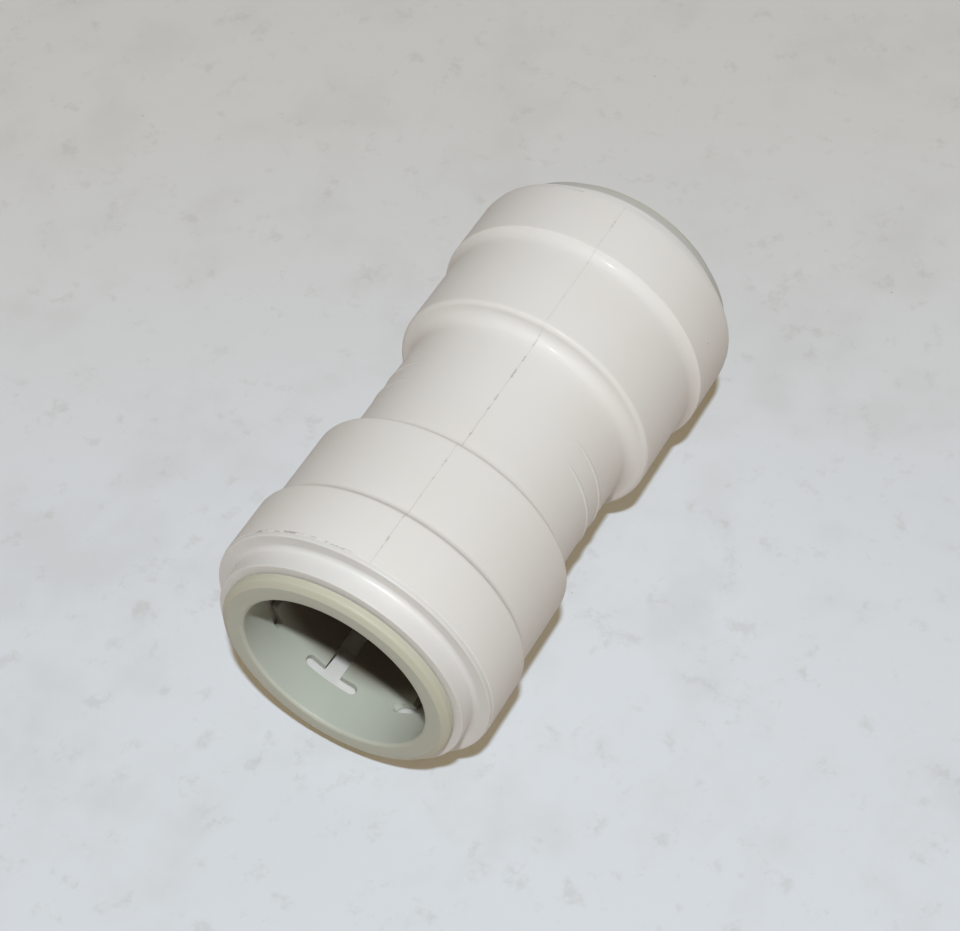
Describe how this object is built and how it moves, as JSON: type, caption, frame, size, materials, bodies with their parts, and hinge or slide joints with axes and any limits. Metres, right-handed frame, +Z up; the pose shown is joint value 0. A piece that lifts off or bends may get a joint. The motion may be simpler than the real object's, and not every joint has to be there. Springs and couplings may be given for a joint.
{
  "type": "push to connect fitting",
  "caption": "Straight push to connect coupling: white stepped body, welded caps, sliding slotted collets with steel teeth, and an O-ring at each end.",
  "frame": {"origin": "middle of the body, on the tube axis", "axes": "+X along the tube axis towards end b, +Z up as the coupling lies on a table"},
  "size_m": [0.0854, 0.044, 0.044],
  "materials": {
    "body_white": "satin",
    "cap_white": "satin",
    "collet_grey": "satin",
    "seal_rubber": "matte",
    "spacer_plastic": "matte",
    "tooth_steel": "brushed"
  },
  "bodies": {
    "body": {"body": "body_white", "cap_a": "cap_white", "o_ring_a": "seal_rubber", "spacer_ring_a": "spacer_plastic", "cap_b": "cap_white", "o_ring_b": "seal_rubber", "spacer_ring_b": "spacer_plastic"},
    "collet_a": {"collet_a": "collet_grey", "grip_tooth_a_1": "tooth_steel", "grip_tooth_a_2": "tooth_steel", "grip_tooth_a_3": "tooth_steel", "grip_tooth_a_4": "tooth_steel", "grip_tooth_a_5": "tooth_steel", "grip_tooth_a_6": "tooth_steel"},
    "collet_b": {"collet_b": "collet_grey", "grip_tooth_b_1": "tooth_steel", "grip_tooth_b_2": "tooth_steel", "grip_tooth_b_3": "tooth_steel", "grip_tooth_b_4": "tooth_steel", "grip_tooth_b_5": "tooth_steel", "grip_tooth_b_6": "tooth_steel"}
  },
  "joints": [
    {"name": "collet_a_slide", "type": "slide", "parent": "body", "child": "collet_a", "axis": [-1, 0, 0], "range_m": [-0.00015, 0.0022]},
    {"name": "collet_b_slide", "type": "slide", "parent": "body", "child": "collet_b", "axis": [1, 0, 0], "range_m": [-0.00015, 0.0022]}
  ]
}
